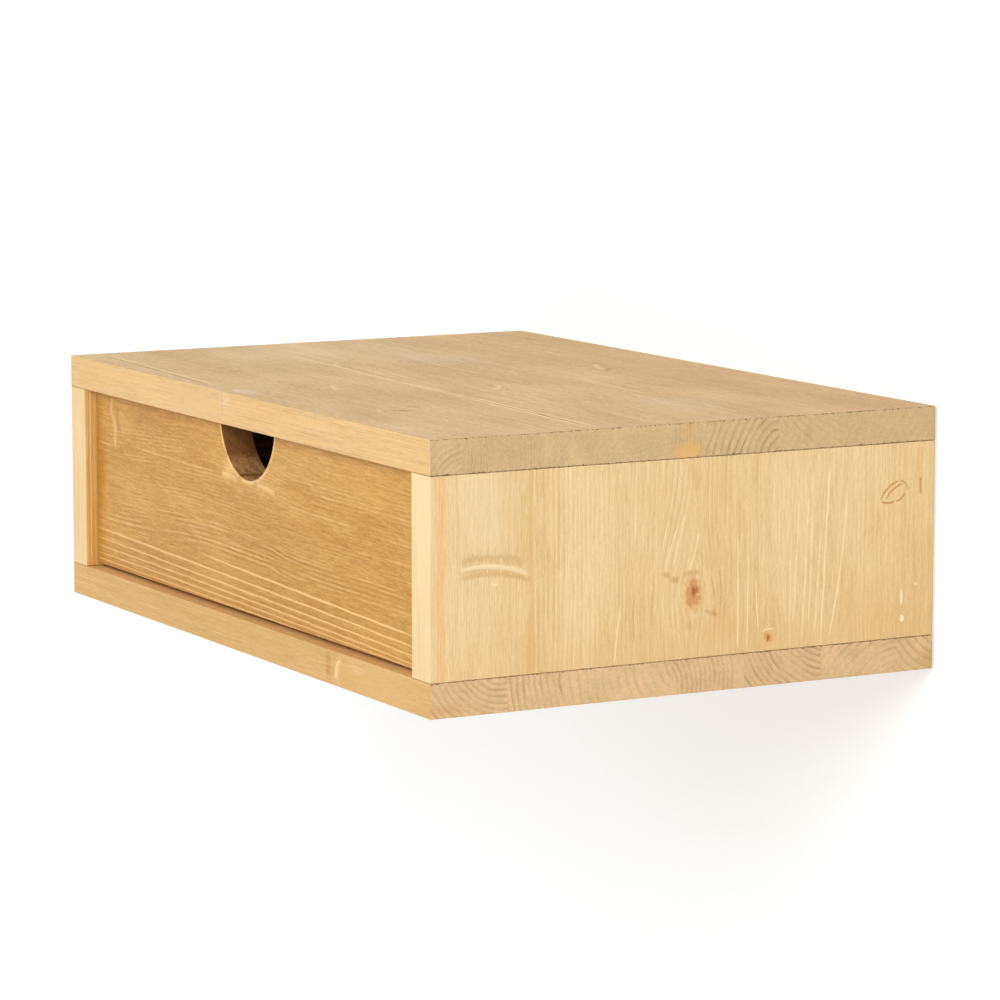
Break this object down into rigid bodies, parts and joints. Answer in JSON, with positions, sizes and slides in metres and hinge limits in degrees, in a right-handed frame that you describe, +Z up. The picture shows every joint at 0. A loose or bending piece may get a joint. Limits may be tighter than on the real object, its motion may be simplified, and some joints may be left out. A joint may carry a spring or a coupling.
{
  "type": "floating nightstand",
  "caption": "Wall-hung spruce nightstand with a recessed drawer on ball-bearing slides, opened by a round finger cutout.",
  "frame": {"origin": "centre of the back face, which lies against the wall", "axes": "+X to the right seen from the front, +Y towards the wall, +Z up"},
  "size_m": [0.45, 0.3, 0.14],
  "materials": {
    "spruce_top": "brushed spruce, thin warm satin oil",
    "spruce_side": "brushed spruce, thin pale satin oil",
    "spruce_front": "brushed spruce, warm satin oil",
    "drawer_wood": "planed spruce, clear matt",
    "plywood": "birch plywood, clear matt",
    "dowel_wood": "turned beech, raw",
    "zinc_steel": "bright zinc plate",
    "cage_steel": "greased spring steel",
    "screw_steel": "pale yellow zinc plate",
    "black_plastic": "moulded, satin"
  },
  "bodies": {
    "carcass": {"top_panel": "spruce_top", "bottom_panel": "spruce_top", "left_side_panel": "spruce_side", "right_side_panel": "spruce_side", "back_panel": "spruce_side", "left_top_front_dowel": "dowel_wood", "left_top_rear_dowel": "dowel_wood", "left_bottom_front_dowel": "dowel_wood", "left_bottom_rear_dowel": "dowel_wood", "right_top_front_dowel": "dowel_wood", "right_top_rear_dowel": "dowel_wood", "right_bottom_front_dowel": "dowel_wood", "right_bottom_rear_dowel": "dowel_wood", "left_back_upper_dowel": "dowel_wood", "left_back_lower_dowel": "dowel_wood", "right_back_upper_dowel": "dowel_wood", "right_back_lower_dowel": "dowel_wood", "left_hanger_plate": "zinc_steel", "left_hanger_upper_screw": "screw_steel", "left_hanger_lower_screw": "screw_steel", "right_hanger_plate": "zinc_steel", "right_hanger_upper_screw": "screw_steel", "right_hanger_lower_screw": "screw_steel", "left_slide_outer_rail": "zinc_steel", "left_slide_bumper": "black_plastic", "left_outer_rail_front_screw": "screw_steel", "left_outer_rail_rear_screw": "screw_steel", "right_slide_outer_rail": "zinc_steel", "right_slide_bumper": "black_plastic", "right_outer_rail_front_screw": "screw_steel", "right_outer_rail_rear_screw": "screw_steel"},
    "drawer": {"drawer_front": "spruce_front", "drawer_left_side": "drawer_wood", "drawer_right_side": "drawer_wood", "drawer_back": "drawer_wood", "drawer_floor": "plywood", "drawer_left_upper_dowel": "dowel_wood", "drawer_left_lower_dowel": "dowel_wood", "drawer_right_upper_dowel": "dowel_wood", "drawer_right_lower_dowel": "dowel_wood", "drawer_left_upper_screw": "screw_steel", "drawer_left_lower_screw": "screw_steel", "drawer_right_upper_screw": "screw_steel", "drawer_right_lower_screw": "screw_steel", "drawer_floor_left_screw": "screw_steel", "drawer_floor_right_screw": "screw_steel", "left_slide_inner_rail": "zinc_steel", "left_inner_rail_front_screw": "screw_steel", "left_inner_rail_rear_screw": "screw_steel", "right_slide_inner_rail": "zinc_steel", "right_inner_rail_front_screw": "screw_steel", "right_inner_rail_rear_screw": "screw_steel"},
    "left_middle": {"left_slide_middle_rail": "zinc_steel"},
    "right_middle": {"right_slide_middle_rail": "zinc_steel"},
    "left_outer_balls": {"left_slide_outer_cage": "cage_steel"},
    "right_outer_balls": {"right_slide_outer_cage": "cage_steel"},
    "left_inner_balls": {"left_slide_inner_cage": "cage_steel"},
    "right_inner_balls": {"right_slide_inner_cage": "cage_steel"},
    "left_lever": {"left_slide_release_lever": "black_plastic"},
    "right_lever": {"right_slide_release_lever": "black_plastic"}
  },
  "joints": [
    {"name": "drawer_slide", "type": "slide", "parent": "carcass", "child": "drawer", "axis": [0, -1, 0], "range_m": [0, 0.24]},
    {"name": "left_middle_slide", "type": "slide", "parent": "carcass", "child": "left_middle", "axis": [0, -1, 0], "range_m": [0, 0.12]},
    {"name": "right_middle_slide", "type": "slide", "parent": "carcass", "child": "right_middle", "axis": [0, -1, 0], "range_m": [0, 0.12]},
    {"name": "left_outer_balls_slide", "type": "slide", "parent": "carcass", "child": "left_outer_balls", "axis": [0, -1, 0], "range_m": [0, 0.06]},
    {"name": "right_outer_balls_slide", "type": "slide", "parent": "carcass", "child": "right_outer_balls", "axis": [0, -1, 0], "range_m": [0, 0.06]},
    {"name": "left_inner_balls_slide", "type": "slide", "parent": "carcass", "child": "left_inner_balls", "axis": [0, -1, 0], "range_m": [0, 0.18]},
    {"name": "right_inner_balls_slide", "type": "slide", "parent": "carcass", "child": "right_inner_balls", "axis": [0, -1, 0], "range_m": [0, 0.18]},
    {"name": "left_lever_pivot", "type": "hinge", "parent": "drawer", "child": "left_lever", "pos_m": [-0.1946, -0.1695, -0.004], "axis": [-1, 0, 0], "range_deg": [0, 10], "stiffness_Nm_per_rad": 0.02, "springref_deg": -11.46},
    {"name": "right_lever_pivot", "type": "hinge", "parent": "drawer", "child": "right_lever", "pos_m": [0.1946, -0.1695, -0.004], "axis": [1, 0, 0], "range_deg": [0, 10], "stiffness_Nm_per_rad": 0.02, "springref_deg": -11.46}
  ],
  "couplings": [
    {"joint": "left_middle_slide", "follows": "drawer_slide", "ratio": 0.5},
    {"joint": "right_middle_slide", "follows": "drawer_slide", "ratio": 0.5},
    {"joint": "left_outer_balls_slide", "follows": "drawer_slide", "ratio": 0.25},
    {"joint": "right_outer_balls_slide", "follows": "drawer_slide", "ratio": 0.25},
    {"joint": "left_inner_balls_slide", "follows": "drawer_slide", "ratio": 0.75},
    {"joint": "right_inner_balls_slide", "follows": "drawer_slide", "ratio": 0.75}
  ]
}
